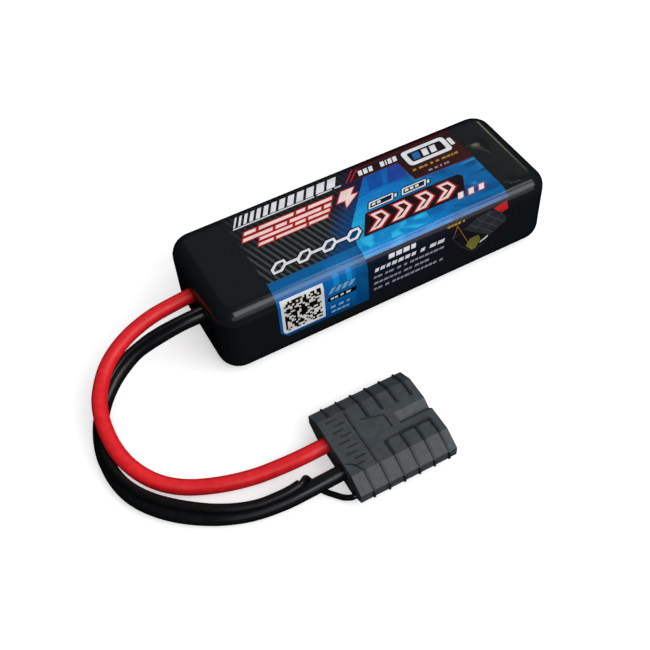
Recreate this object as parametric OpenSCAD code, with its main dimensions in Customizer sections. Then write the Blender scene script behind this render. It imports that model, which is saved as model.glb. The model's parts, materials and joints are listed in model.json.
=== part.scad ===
// Two-cell lithium polymer battery pack with flying leads and a flat moulded plug.
// +X runs along the pack, the leads leave its -X end, +Z is up.
// The origin is the middle of the underside of the pack.

/* [Pack] */
// Length of the pack over its shrink film
pack_l = 100; // [96:1:110]
// Width of the pack over its shrink film
pack_w = 35.4; // [35:0.2:38]
// Height of the pack over its shrink film
pack_h = 23.3; // [23.3:0.1:25]
// Radius of the upright corners
corner_r = 6; // [5.5:0.5:8]
// Radius of the long and short edges
edge_r = 5; // [4:0.5:5.4]
// Thickness of the shrink film
film_t = 0.3; // [0.2:0.05:0.4]
// Wall of the two stiff shells under the film
shell_t = 1.2; // [0.8:0.1:1.4]

/* [Cells] */
// Length of a pouch cell without its sealed tab edge
cell_l = 85.5; // [80:0.5:86]
// Width of a pouch cell
cell_w = 31.4; // [28:0.2:31.8]
// Thickness of a pouch cell
cell_t = 9.1; // [8:0.1:9.1]
// Thickness of the foam between the two cells
separator_t = 0.8; // [0.5:0.1:0.8]

/* [Leads] */
// Outside diameter of the red and black silicone leads
lead_d = 4; // [3.5:0.1:4]
// Outside diameter of the balance lead
balance_d = 1.5; // [1.2:0.1:1.5]
// Outside diameter of the sleeve on the balance lead
sleeve_d = 2.4; // [2.2:0.1:2.4]

/* [Plug] */
// Length of the plug from its cable face to its mating face
plug_l = 26.4; // [26:0.1:28]
// Width of the plug without its grip ribs
plug_w = 26; // [26:0.1:28]
// Thickness of the plug
plug_t = 8; // [8:0.1:8.5]
// Length of the end cap that closes the cable end of the plug
cap_l = 7.8; // [7.6:0.1:8]
// Distance between the two main leads at the plug
lead_pitch = 8.6; // [8.4:0.1:8.8]
// Height that the grip ribs stand proud
rib_proud = 0.35; // [0.2:0.05:0.4]

/* [Hidden] */

$fn = 48;
hull_fn = 32;
lead_sides = 12;
thin_sides = 8;
bore_gap = 0.1;

// Inside of the shells
wall = film_t + shell_t;
split_z = 10.5;
inner_top = pack_h - wall;

// Layers of the cell stack, from the bottom up
pad_t = 0.5;
tape_t = 0.1;
cell_1_z = wall + pad_t + tape_t;
separator_z = cell_1_z + cell_t;
cell_2_z = separator_z + separator_t;
stack_top = cell_2_z + cell_t;

// Along the pack: end pad, cells, sealed tab edge, insulator, board
end_pad_t = 1.5;
cell_end_x = pack_l / 2 - wall - end_pad_t;
cell_start_x = cell_end_x - cell_l;
terrace_l = 2.5;
terrace_t = 1.2;
terrace_x = cell_start_x - terrace_l;
board_t = 1;
board_back_x = -pack_l / 2 + 6.5;
board_front_x = board_back_x - board_t;
board_w = 28;
board_z = 3.2;
board_h = 17;
insulator_x = board_back_x + 0.9;
insulator_t = 0.3;
tab_w = 6;
tab_t = 0.2;
tab_y = 8;
flap_h = 3.5;
tab_1_z = cell_1_z + cell_t / 2;
tab_2_z = cell_2_z + cell_t / 2;

// Where the leads leave the pack
exit_x = -pack_l / 2;
exit_z = 14;
red_y = 2.5;
black_y = -5;
balance_y = -5.6;
balance_z = 17.1;
grommet_l = 3;
grommet_y = -1.25;
grommet_w = 15;
grommet_h = 8.6;
grommet_r = 2;
strip_x = board_front_x - 2;

// Conductors
core_d = 2.6;
balance_core_d = 0.8;
solder_r = 2.2;
balance_solder_r = 1.1;

// The plug lies flat beside the pack, with its cable face towards -X
plug_x = -39.1;
plug_y = -54.2;
plug_mid_z = plug_t / 2;
plug_end_x = plug_x + plug_l;
cap_end_x = plug_x + cap_l;
plug_flat_w = 17;
plug_side_h = 2.9;
lead_in = 4.6;
plug_strip_x = plug_x + lead_in;
rib_w = 0.5;
rib_first = 3.6;
rib_pitch = 4.13;
rib_top_in = 4;
groove_w = 3.6;
groove_d = 1.5;
groove_l = 8.8;
groove_wall_w = 1.3;
socket_in = 2.4;
socket_w = 7.2;
socket_h = 5.2;
socket_l = 10.3;
socket_z = (plug_t - socket_h) / 2;
chamber_l = 3.8;
contact_t = 0.8;
contact_tip = 1.4;
cup_l = 4.5;
balance_in_y = -10.5;
balance_in_z = 2.3;

// Routes of the three leads, from inside the pack to inside the plug
red_route = [
    [strip_x, 2.5, 14], [-50, 2.5, 14], [-56, 2, 14], [-62, 1.2, 13.8],
    [-68, -0.3, 13], [-73, -2.5, 12], [-77, -5.3, 11], [-80, -8.8, 10],
    [-82.5, -13.5, 9.5], [-83.9, -18.8, 8.6], [-84.2, -24, 7.6], [-83.6, -29.2, 6.5],
    [-81.9, -33.7, 5.2], [-79, -37.8, 3.8], [-75, -41.1, 2.6], [-70, -43.8, 2],
    [-64, -46.2, 2], [-57, -48, 2.1], [-50, -49.1, 2.8], [-44.5, -49.8, 3.7],
    [plug_x, -49.9, 4], [plug_strip_x, -49.9, 4]];
black_route = [
    [strip_x, -5, 14], [-50, -5, 14], [-56, -4.5, 13.3], [-62, -3.8, 11.4],
    [-68, -3.2, 8.9], [-73, -4.2, 6.5], [-77.5, -6.4, 4.4], [-81.5, -10, 2.8],
    [-84.5, -15, 2.1], [-86.3, -20.5, 2], [-87, -26, 2], [-86.8, -31.5, 2],
    [-85.5, -37, 2], [-82.8, -42, 2], [-78.8, -46.7, 2], [-73.8, -50.8, 2],
    [-68, -54.2, 2], [-61.5, -56.6, 2.1], [-54.5, -58, 2.8], [-49, -58.5, 3.6],
    [-44, -58.6, 4], [plug_x, -58.5, 4], [plug_strip_x, -58.5, 4]];
balance_route = [
    [strip_x, -5.6, 17.1], [-50, -5.6, 17.1], [-54, -5.3, 16.6], [-58, -4.8, 15.7],
    [-62, -4.2, 14.4], [-66, -3.8, 12.8], [-70, -3.8, 11], [-74, -4.8, 9],
    [-77.5, -6.7, 7.5], [-80.8, -9.5, 6.3], [-83.3, -13, 5.5], [-85, -17, 5.3],
    [-86.1, -21.5, 5.2], [-86.7, -26, 5.2], [-86.4, -30.5, 5.2], [-85.5, -34.9, 5.2],
    [-83.7, -39, 5.2], [-81, -42.9, 5.2], [-77.7, -46.4, 5.2], [-74, -49.6, 5.2],
    [-70, -52.5, 5.2], [-65.4, -55, 5.2], [-60.5, -56.8, 5.4], [-56, -57.6, 5.9],
    [-52.4, -57.9, 6.4], [-49.9, -57.7, 6.6], [-48.8, -57.1, 6.3], [-48, -56.3, 5.5],
    [-47.4, -55.8, 4.3], [-46.9, -55.7, 3], [-46.3, -56.5, 1.8], [-45.5, -57.8, 1],
    [-44.4, -59.5, 0.8], [-43, -61.3, 0.9], [-41.7, -63, 1.2], [-40.5, -64.2, 1.8],
    [plug_x, plug_y + balance_in_y, balance_in_z],
    [plug_strip_x, plug_y + balance_in_y, balance_in_z]];
sleeve_first = 10;
sleeve_last = 25;

// Functions that sweep a round section along a route
function unit(v) = v / norm(v);
function along(route, i) =
    unit(route[min(i + 1, len(route) - 1)] - route[max(i - 1, 0)]);
function across(v, t) = unit(v - (v * t) * t);
function normals(route, i, last) =
    i == len(route) ? [] :
    let (n = across(last, along(route, i)))
    concat([n], normals(route, i + 1, n));
function ring(middle, t, n, r, sides) =
    [for (k = [0:sides - 1])
        middle + r * (cos(360 * k / sides) * n + sin(360 * k / sides) * cross(t, n))];
function rings(route, r, sides) =
    let (n = normals(route, 0, [0, 0, 1]))
    [for (i = [0:len(route) - 1]) each ring(route[i], along(route, i), n[i], r, sides)];
function tube_faces(count, sides, first, flip) =
    [for (i = [0:count - 2], k = [0:sides - 1])
        let (a = first + i * sides + k)
        let (b = first + i * sides + (k + 1) % sides)
        flip ? [a, a + sides, b + sides, b] : [a, b, b + sides, a + sides]];
function arc(x, y, r, from, to, steps) =
    [for (i = [0:steps]) let (a = from + (to - from) * i / steps)
        [x + r * cos(a), y + r * sin(a)]];

// A cord of a given diameter along a route
module cord(route, d, sides) {
    count = len(route);
    first_cap = [for (k = [sides - 1:-1:0]) k];
    last_cap = [for (k = [0:sides - 1]) (count - 1) * sides + k];
    polyhedron(rings(route, d / 2, sides),
        concat([first_cap, last_cap], tube_faces(count, sides, 0, false)),
        convexity = 10);
}

// An open tube of a given bore along a route
module open_tube(route, d, bore, sides) {
    count = len(route);
    inside = count * sides;
    last = (count - 1) * sides;
    near_end = [for (k = [0:sides - 1])
        [(k + 1) % sides, k, inside + k, inside + (k + 1) % sides]];
    far_end = [for (k = [0:sides - 1])
        [last + k, last + (k + 1) % sides, inside + last + (k + 1) % sides, inside + last + k]];
    polyhedron(concat(rings(route, d / 2, sides), rings(route, bore / 2, sides)),
        concat(near_end, far_end, tube_faces(count, sides, 0, false),
            tube_faces(count, sides, inside, true)),
        convexity = 10);
}

// A box given by its lowest and highest corners
module block(low, high) {
    translate(low) cube(high - low);
}

// A cylinder along X between two stations
module rod(x0, x1, y, z, d) {
    translate([x0, y, z]) rotate([0, 90, 0]) cylinder(h = x1 - x0, d = d);
}

// A slab with four rounded corners, seen along X
module rounded_slab_x(x0, x1, y, z, w, h, r) {
    block([x0, y - w / 2 + r, z - h / 2], [x1, y + w / 2 - r, z + h / 2]);
    block([x0, y - w / 2, z - h / 2 + r], [x1, y + w / 2, z + h / 2 - r]);
    for (sy = [-1, 1], sz = [-1, 1])
        rod(x0, x1, y + sy * (w / 2 - r), z + sz * (h / 2 - r), 2 * r);
}

// One upright corner post with rounded ends, swept from its outline
module corner_post(h, corner, edge) {
    rotate_extrude($fn = hull_fn)
        polygon(concat([[0, 0]],
            arc(corner - edge, edge, edge, -90, 0, 6),
            arc(corner - edge, h - edge, edge, 0, 90, 6),
            [[0, h]]));
}

// The pack's rounded block, taken in by a given amount all round
module pack_block(inset) {
    l = pack_l - 2 * inset;
    w = pack_w - 2 * inset;
    r = corner_r - inset;
    translate([0, 0, inset])
        hull()
            for (sx = [-1, 1], sy = [-1, 1])
                translate([sx * (l / 2 - r), sy * (w / 2 - r), 0])
                    corner_post(pack_h - 2 * inset, r, edge_r - inset);
}

// The window through film and shell that the grommet fills
module grommet_outline(x0, x1) {
    rounded_slab_x(x0, x1, grommet_y, split_z + grommet_h / 2, grommet_w, grommet_h, grommet_r);
}

module shrink_sleeve() {
    color([0.05, 0.06, 0.07])
        difference() {
            pack_block(0);
            pack_block(film_t);
            grommet_outline(exit_x - 1, exit_x + 2);
        }
}

module shell_wall() {
    difference() {
        pack_block(film_t);
        pack_block(wall);
        grommet_outline(exit_x - 1, exit_x + grommet_l + 1);
    }
}

module lower_shell() {
    color([0.12, 0.12, 0.13])
        intersection() {
            shell_wall();
            block([-pack_l, -pack_w, -1], [pack_l, pack_w, split_z]);
        }
}

module upper_shell() {
    color([0.12, 0.12, 0.13])
        intersection() {
            shell_wall();
            block([-pack_l, -pack_w, split_z], [pack_l, pack_w, pack_h + 1]);
        }
}

module lead_grommet() {
    color([0.06, 0.06, 0.06])
        difference() {
            grommet_outline(exit_x, exit_x + grommet_l);
            rod(exit_x - 1, exit_x + grommet_l + 1, red_y, exit_z, lead_d + bore_gap);
            rod(exit_x - 1, exit_x + grommet_l + 1, black_y, exit_z, lead_d + bore_gap);
            rod(exit_x - 1, exit_x + grommet_l + 1, balance_y, balance_z, balance_d + bore_gap);
        }
}

// A flat foam sheet over the footprint of the cells
module cell_pad(z, t) {
    inset = 0.4;
    block([cell_start_x, -cell_w / 2 + inset, z], [cell_end_x - inset, cell_w / 2 - inset, z + t]);
}

module bottom_pad() {
    color([0.2, 0.2, 0.22]) cell_pad(wall, pad_t);
}

module top_pad() {
    color([0.2, 0.2, 0.22]) cell_pad(stack_top + tape_t, pad_t);
}

module separator_pad() {
    color([0.75, 0.75, 0.72]) cell_pad(separator_z, separator_t);
}

module end_pad() {
    side = 1.6;
    color([0.2, 0.2, 0.22])
        block([cell_end_x, -cell_w / 2 + side, cell_1_z],
            [cell_end_x + end_pad_t, cell_w / 2 - side, stack_top]);
}

// Two bands of polyimide tape round both cells
module cell_tape() {
    band_w = 10;
    color([0.80, 0.55, 0.15])
        for (x = [-20, 30])
            difference() {
                block([x, -cell_w / 2 - tape_t, cell_1_z - tape_t],
                    [x + band_w, cell_w / 2 + tape_t, stack_top + tape_t]);
                block([x - 1, -cell_w / 2, cell_1_z], [x + band_w + 1, cell_w / 2, stack_top]);
            }
}

// A pouch cell: its body, and the sealed edge that the tabs come out of
module pouch_cell(z) {
    r = 1.5;
    block([cell_start_x, -cell_w / 2 + r, z], [cell_end_x, cell_w / 2 - r, z + cell_t]);
    block([cell_start_x + r, -cell_w / 2, z], [cell_end_x - r, cell_w / 2, z + cell_t]);
    for (x = [cell_start_x + r, cell_end_x - r], sy = [-1, 1])
        translate([x, sy * (cell_w / 2 - r), z]) cylinder(h = cell_t, r = r);
    difference() {
        block([terrace_x, -cell_w / 2 + r, z + cell_t / 2 - terrace_t / 2],
            [cell_start_x, cell_w / 2 - r, z + cell_t / 2 + terrace_t / 2]);
        for (sy = [-1, 1])
            block([terrace_x - 1, sy * tab_y - tab_w / 2, z + cell_t / 2 - tab_t / 2],
                [cell_start_x, sy * tab_y + tab_w / 2, z + cell_t / 2 + tab_t / 2]);
    }
}

// A tab that leaves the sealed edge and turns flat against the board
module cell_tab(side, z, up) {
    y0 = side * tab_y - tab_w / 2;
    y1 = side * tab_y + tab_w / 2;
    block([board_back_x, y0, z - tab_t / 2], [cell_start_x, y1, z + tab_t / 2]);
    block([board_back_x, y0, min(z, z + up * flap_h)],
        [board_back_x + tab_t, y1, max(z, z + up * flap_h)]);
}

module cell_1() {
    color([0.72, 0.74, 0.76]) pouch_cell(cell_1_z);
}

module cell_1_positive_tab() {
    color([0.80, 0.81, 0.83]) cell_tab(1, tab_1_z, 1);
}

module cell_1_negative_tab() {
    color([0.70, 0.66, 0.58]) cell_tab(-1, tab_1_z, 1);
}

module cell_2() {
    color([0.72, 0.74, 0.76]) pouch_cell(cell_2_z);
}

module cell_2_positive_tab() {
    color([0.80, 0.81, 0.83]) cell_tab(-1, tab_2_z, -1);
}

module cell_2_negative_tab() {
    color([0.70, 0.66, 0.58]) cell_tab(1, tab_2_z, -1);
}

module tab_board() {
    color([0.05, 0.35, 0.15])
        block([board_front_x, -board_w / 2, board_z],
            [board_back_x, board_w / 2, board_z + board_h]);
}

// Joins the lower cell's positive tab to the upper cell's negative tab
module series_link() {
    color([0.80, 0.45, 0.25])
        block([board_back_x, tab_y - tab_w / 2, tab_1_z + flap_h],
            [board_back_x + tab_t, tab_y + tab_w / 2, tab_2_z - flap_h]);
}

// A paper sheet between the board and the cells, slotted for the four tabs
module tab_insulator() {
    slot_gap = 0.1;
    color([0.15, 0.45, 0.35])
        difference() {
            block([insulator_x, -board_w / 2, board_z],
                [insulator_x + insulator_t, board_w / 2, board_z + board_h]);
            for (side = [-1, 1], z = [tab_1_z, tab_2_z])
                block([insulator_x - 1, side * tab_y - tab_w / 2 - slot_gap, z - tab_t / 2 - slot_gap],
                    [insulator_x + 1, side * tab_y + tab_w / 2 + slot_gap, z + tab_t / 2 + slot_gap]);
        }
}

// A dome of solder on the board round the end of a conductor
module solder_dome(y, z, r, d) {
    color([0.75, 0.76, 0.78])
        difference() {
            translate([board_front_x, y, z]) sphere(r = r);
            block([board_front_x, y - 2 * r, z - 2 * r], [board_front_x + 2 * r, y + 2 * r, z + 2 * r]);
            rod(board_front_x - 2 * r, board_front_x + r, y, z, d);
        }
}

module positive_solder() {
    solder_dome(red_y, exit_z, solder_r, core_d);
}

module negative_solder() {
    solder_dome(black_y, exit_z, solder_r - 0.4, core_d);
}

module balance_solder() {
    solder_dome(balance_y, balance_z, balance_solder_r, balance_core_d);
}

// The bare ends of a conductor, at the board and in the plug
module lead_core(y, z, plug_side_y, plug_side_z, d) {
    color([0.85, 0.55, 0.35]) {
        rod(strip_x, board_front_x, y, z, d);
        rod(plug_strip_x, plug_strip_x + cup_l, plug_side_y, plug_side_z, d);
    }
}

module red_lead() {
    color([0.88, 0.08, 0.12]) cord(red_route, lead_d, lead_sides);
}

module red_lead_core() {
    lead_core(red_y, exit_z, plug_y + lead_pitch / 2, plug_mid_z, core_d);
}

module black_lead() {
    color([0.06, 0.06, 0.07]) cord(black_route, lead_d, lead_sides);
}

module black_lead_core() {
    lead_core(black_y, exit_z, plug_y - lead_pitch / 2, plug_mid_z, core_d);
}

module balance_lead() {
    color([0.06, 0.06, 0.07]) cord(balance_route, balance_d, thin_sides);
}

module balance_lead_core() {
    lead_core(balance_y, balance_z, plug_y + balance_in_y, balance_in_z, balance_core_d);
}

module balance_sleeve() {
    route = [for (i = [sleeve_first:sleeve_last]) balance_route[i]];
    color([0.05, 0.05, 0.06]) open_tube(route, sleeve_d, balance_d + bore_gap, thin_sides);
}

// The plug's eight-sided section, grown by a given amount except underneath
module plug_outline(grow) {
    side = plug_side_h / 2;
    half = plug_w / 2;
    flat = plug_flat_w / 2;
    mid = plug_mid_z;
    polygon([
        [-half - grow, mid - side], [-flat, 0], [flat, 0], [half + grow, mid - side],
        [half + grow, mid + side], [flat + grow / 3, plug_t + grow],
        [-flat - grow / 3, plug_t + grow], [-half - grow, mid + side]]);
}

// A shape drawn across the plug, run along X between two stations
module plug_run(x0, x1) {
    translate([x0, plug_y, 0])
        rotate([90, 0, 90])
            linear_extrude(x1 - x0)
                children();
}

// Grip rib number i, which runs over the chamfers and a little way in on top
module grip_rib(i) {
    x = plug_x + rib_first + i * rib_pitch;
    inner = i < 2 ? plug_flat_w / 2 : rib_top_in;
    plug_run(x - rib_w / 2, x + rib_w / 2)
        difference() {
            plug_outline(rib_proud);
            plug_outline(0);
            translate([-inner, plug_mid_z]) square([2 * inner, plug_t]);
        }
}

// The raised edge that joins the last three ribs of one side
module lobe_edge() {
    edge_w = 0.4;
    start_x = plug_x + rib_first + 3 * rib_pitch;
    end_x = plug_x + rib_first + 5 * rib_pitch;
    block([start_x, plug_y - rib_top_in - edge_w / 2, plug_t - 0.1],
        [end_x, plug_y - rib_top_in + edge_w / 2, plug_t + rib_proud]);
}

// The cavity of one socket, with its contact chamber and the slit between them
module socket_cavity(side) {
    y0 = side > 0 ? plug_y + socket_in : plug_y - socket_in - socket_w;
    y1 = y0 + socket_w;
    block([plug_end_x - socket_l, y0, socket_z], [plug_end_x + 1, y1, socket_z + socket_h]);
    block([cap_end_x - 1, y0, socket_z], [plug_end_x - socket_l, y1, socket_z + contact_t]);
    block([cap_end_x - 1, plug_y + side * lead_pitch / 2 - lead_d / 2 - bore_gap / 2, socket_z],
        [cap_end_x + chamber_l, plug_y + side * lead_pitch / 2 + lead_d / 2 + bore_gap / 2,
            plug_mid_z + lead_d / 2 + bore_gap / 2]);
}

module plug_body() {
    hole_d = 1.8;
    color([0.25, 0.27, 0.29]) {
        difference() {
            plug_run(cap_end_x, plug_end_x) plug_outline(0);
            plug_run(plug_end_x - groove_l, plug_end_x + 1)
                polygon([[-groove_w / 2, plug_t + 0.01],
                    [groove_wall_w - groove_w / 2, plug_t - groove_d],
                    [groove_w / 2, plug_t + 0.01]]);
            for (side = [-1, 1])
                socket_cavity(side);
            rod(cap_end_x - 1, plug_end_x + 1, plug_y + balance_in_y, balance_in_z, hole_d);
        }
        for (i = [2:5])
            grip_rib(i);
        lobe_edge();
    }
}

module plug_end_cap() {
    color([0.25, 0.27, 0.29])
        difference() {
            union() {
                plug_run(plug_x, cap_end_x) plug_outline(0);
                for (i = [0:1])
                    grip_rib(i);
            }
            for (side = [-1, 1])
                rod(plug_x - 1, cap_end_x + 1, plug_y + side * lead_pitch / 2, plug_mid_z,
                    lead_d + bore_gap);
            rod(plug_x - 1, cap_end_x + 1, plug_y + balance_in_y, balance_in_z,
                balance_d + bore_gap);
        }
}

// A flat contact on the floor of its socket, with a solder cup behind it
module main_contact(side) {
    y0 = side > 0 ? plug_y + socket_in : plug_y - socket_in - socket_w;
    cup_y = plug_y + side * lead_pitch / 2;
    cup_x = plug_strip_x + 0.3;
    color([0.85, 0.68, 0.30])
        difference() {
            union() {
                block([cap_end_x, y0, socket_z],
                    [plug_end_x - contact_tip, y0 + socket_w, socket_z + contact_t]);
                rod(cup_x, cup_x + cup_l, cup_y, plug_mid_z, lead_d);
                block([cap_end_x, cup_y - 1.5, socket_z], [cup_x + cup_l, cup_y + 1.5, plug_mid_z]);
            }
            rod(cup_x - 1, cup_x + cup_l - 0.3, cup_y, plug_mid_z, core_d);
        }
}

module positive_contact() {
    main_contact(1);
}

module negative_contact() {
    main_contact(-1);
}

// A small pin in its own hole, with the balance conductor soldered into its tail
module balance_contact() {
    pin_d = 0.9;
    tail_d = 1.6;
    tail_x = plug_strip_x + 0.3;
    y = plug_y + balance_in_y;
    color([0.85, 0.68, 0.30])
        difference() {
            union() {
                rod(tail_x, cap_end_x + chamber_l, y, balance_in_z, tail_d);
                rod(cap_end_x, plug_end_x - contact_tip, y, balance_in_z, pin_d);
            }
            rod(tail_x - 1, plug_strip_x + cup_l, y, balance_in_z, balance_core_d);
        }
}

shrink_sleeve();
lower_shell();
upper_shell();
lead_grommet();
bottom_pad();
top_pad();
end_pad();
separator_pad();
cell_tape();
cell_1();
cell_1_positive_tab();
cell_1_negative_tab();
cell_2();
cell_2_positive_tab();
cell_2_negative_tab();
tab_board();
series_link();
tab_insulator();
positive_solder();
negative_solder();
balance_solder();
red_lead();
red_lead_core();
black_lead();
black_lead_core();
balance_lead();
balance_lead_core();
balance_sleeve();
plug_body();
plug_end_cap();
positive_contact();
negative_contact();
balance_contact();
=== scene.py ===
"""A two-cell lithium polymer battery pack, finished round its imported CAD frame.

The film, the three leads, the sleeve and the plug are made here. The other pieces are CAD nodes with
a material. The film and its print are drawn in millimetres. A place on the film is (x, s): x runs along
the pack, and s is the way round its section, from the middle of the top over the front edge.
"""

import json
import math
import random

import bmesh
import bpy
from mathutils import Matrix, Vector
from mathutils.geometry import delaunay_2d_cdt


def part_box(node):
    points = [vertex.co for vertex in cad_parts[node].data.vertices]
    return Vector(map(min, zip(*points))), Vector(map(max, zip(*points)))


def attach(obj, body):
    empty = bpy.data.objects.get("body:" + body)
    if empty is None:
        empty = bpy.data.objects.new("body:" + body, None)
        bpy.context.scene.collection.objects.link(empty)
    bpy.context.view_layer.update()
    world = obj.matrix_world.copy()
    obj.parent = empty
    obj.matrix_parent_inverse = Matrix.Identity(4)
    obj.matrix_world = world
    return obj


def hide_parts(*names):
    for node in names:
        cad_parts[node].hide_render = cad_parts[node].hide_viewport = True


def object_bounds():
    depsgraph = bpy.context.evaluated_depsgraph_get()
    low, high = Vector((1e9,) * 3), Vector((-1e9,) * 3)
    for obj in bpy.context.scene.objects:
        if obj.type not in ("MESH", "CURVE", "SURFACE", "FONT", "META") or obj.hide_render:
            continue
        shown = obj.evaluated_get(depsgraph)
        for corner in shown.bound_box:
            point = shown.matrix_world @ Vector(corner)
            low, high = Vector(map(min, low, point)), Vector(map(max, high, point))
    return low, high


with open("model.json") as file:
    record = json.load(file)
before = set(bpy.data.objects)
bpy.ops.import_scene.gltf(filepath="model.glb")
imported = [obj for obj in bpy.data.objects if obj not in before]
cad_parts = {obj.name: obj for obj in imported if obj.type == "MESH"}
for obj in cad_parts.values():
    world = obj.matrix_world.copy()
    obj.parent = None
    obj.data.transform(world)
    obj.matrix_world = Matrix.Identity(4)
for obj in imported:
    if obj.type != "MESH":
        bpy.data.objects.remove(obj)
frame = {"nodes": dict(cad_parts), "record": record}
nodes = frame["nodes"]
cad_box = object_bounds()
MM = 0.001

# The pack's outside, in millimetres
film_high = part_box("shrink_sleeve")[1]
HALF_L = film_high.x / MM
HALF_W = film_high.y / MM
TOP = film_high.z / MM
CORNER_R = 6.0
EDGE_R = 5.0
FLAT = HALF_W - EDGE_R
TURN = EDGE_R * math.pi / 2
WALL = TOP - 2 * EDGE_R
BELT = 2 * TURN + WALL
HALF_ROUND = 2 * FLAT + BELT
STRAIGHT = HALF_L - CORNER_R
CORNER_ARC = CORNER_R * math.pi / 2
END_FLAT = 2 * (HALF_W - CORNER_R)

# Routes of the leads, as the CAD part has them
STRIP_X = -46.5
PLUG_STRIP_X = -34.5
PLUG_X = -39.1
RED_ROUTE = [
    (STRIP_X, 2.5, 14), (-50, 2.5, 14), (-56, 2, 14), (-62, 1.2, 13.8),
    (-68, -0.3, 13), (-73, -2.5, 12), (-77, -5.3, 11), (-80, -8.8, 10),
    (-82.5, -13.5, 9.5), (-83.9, -18.8, 8.6), (-84.2, -24, 7.6), (-83.6, -29.2, 6.5),
    (-81.9, -33.7, 5.2), (-79, -37.8, 3.8), (-75, -41.1, 2.6), (-70, -43.8, 2),
    (-64, -46.2, 2), (-57, -48, 2.1), (-50, -49.1, 2.8), (-44.5, -49.8, 3.7),
    (PLUG_X, -49.9, 4), (PLUG_STRIP_X, -49.9, 4)]
BLACK_ROUTE = [
    (STRIP_X, -5, 14), (-50, -5, 14), (-56, -4.5, 13.3), (-62, -3.8, 11.4),
    (-68, -3.2, 8.9), (-73, -4.2, 6.5), (-77.5, -6.4, 4.4), (-81.5, -10, 2.8),
    (-84.5, -15, 2.1), (-86.3, -20.5, 2), (-87, -26, 2), (-86.8, -31.5, 2),
    (-85.5, -37, 2), (-82.8, -42, 2), (-78.8, -46.7, 2), (-73.8, -50.8, 2),
    (-68, -54.2, 2), (-61.5, -56.6, 2.1), (-54.5, -58, 2.8), (-49, -58.5, 3.6),
    (-44, -58.6, 4), (PLUG_X, -58.5, 4), (PLUG_STRIP_X, -58.5, 4)]
BALANCE_ROUTE = [
    (STRIP_X, -5.6, 17.1), (-50, -5.6, 17.1), (-54, -5.3, 16.6), (-58, -4.8, 15.7),
    (-62, -4.2, 14.4), (-66, -3.8, 12.8), (-70, -3.8, 11), (-74, -4.8, 9),
    (-77.5, -6.7, 7.5), (-80.8, -9.5, 6.3), (-83.3, -13, 5.5), (-85, -17, 5.3),
    (-86.1, -21.5, 5.2), (-86.7, -26, 5.2), (-86.4, -30.5, 5.2), (-85.5, -34.9, 5.2),
    (-83.7, -39, 5.2), (-81, -42.9, 5.2), (-77.7, -46.4, 5.2), (-74, -49.6, 5.2),
    (-70, -52.5, 5.2), (-65.4, -55, 5.2), (-60.5, -56.8, 5.4), (-56, -57.6, 5.9),
    (-52.4, -57.9, 6.4), (-49.9, -57.7, 6.6), (-48.8, -57.1, 6.3), (-48, -56.3, 5.5),
    (-47.4, -55.8, 4.3), (-46.9, -55.7, 3), (-46.3, -56.5, 1.8), (-45.5, -57.8, 1),
    (-44.4, -59.5, 0.8), (-43, -61.3, 0.9), (-41.7, -63, 1.2), (-40.5, -64.2, 1.8),
    (PLUG_X, -64.7, 2.3), (PLUG_STRIP_X, -64.7, 2.3)]
SLEEVE_FIRST, SLEEVE_LAST = 10, 25
LEAD_D, BALANCE_D, SLEEVE_D, SLEEVE_BORE = 4.0, 1.5, 2.4, 1.6
RED_LENGTH, BLACK_LENGTH, BALANCE_LENGTH = 0.117, 0.127, 0.134
FLATS = 0.99  # share of a lead's diameter that is drawn, to stay within the flats of its CAD solid
ROUTE_STEPS = 6  # pieces of smooth line between two points of a route

# The plug's section and the joint between its body and its end cap
PLUG_Y = -54.2
PLUG_TOP = 8.0
PLUG_HALF_W = 13.0
PLUG_FLAT = 8.5
PLUG_SHOULDER_Z = 5.45
CAP_JOINT_X = -31.3


# ---------------- camera

def make_camera():
    """The photographer's place: above the leads, with the pack running away to the right."""
    data = bpy.data.cameras.new("photo_camera")
    data.sensor_width = 36
    data.lens = 54.55
    data.clip_start, data.clip_end = 0.01, 10
    camera = bpy.data.objects.new("photo_camera", data)
    bpy.context.scene.collection.objects.link(camera)
    azimuth, elevation, roll = math.radians(25.23), math.radians(50.7), math.radians(-4.45)
    forward = Vector((math.sin(azimuth) * math.cos(elevation),
                      math.cos(azimuth) * math.cos(elevation), -math.sin(elevation)))
    level = Vector((math.cos(azimuth), -math.sin(azimuth), 0))
    upright = level.cross(forward)
    right = math.cos(roll) * level + math.sin(roll) * upright
    up = math.cos(roll) * upright - math.sin(roll) * level
    turn = Matrix((right, up, -forward)).transposed()
    camera.matrix_world = Matrix.Translation((-0.09187, -0.16693, 0.2066)) @ turn.to_4x4()
    bpy.context.scene.camera = camera


# ---------------- leads

def smooth(route):
    """A smooth line through the route's points, in metres. It turns back on an axis only at a point."""
    points = [Vector(p) * MM for p in route]
    pulls = []
    for a, b, c in zip([points[0], *points], points, [*points[1:], points[-1]]):
        onward = [(b[k] - a[k]) * (c[k] - b[k]) > 0 for k in range(3)]
        pulls.append(Vector((c[k] - a[k]) / 2 if onward[k] else 0 for k in range(3)))
    pulls[0], pulls[-1] = points[1] - points[0], points[-1] - points[-2]
    line = []
    for a, b, pull_a, pull_b in zip(points, points[1:], pulls, pulls[1:]):
        for i in range(ROUTE_STEPS):
            t = i / ROUTE_STEPS
            line.append(a * (2 * t ** 3 - 3 * t * t + 1) + pull_a * (t ** 3 - 2 * t * t + t)
                        + b * (3 * t * t - 2 * t ** 3) + pull_b * (t ** 3 - t * t))
    return [*line, points[-1]]


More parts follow.
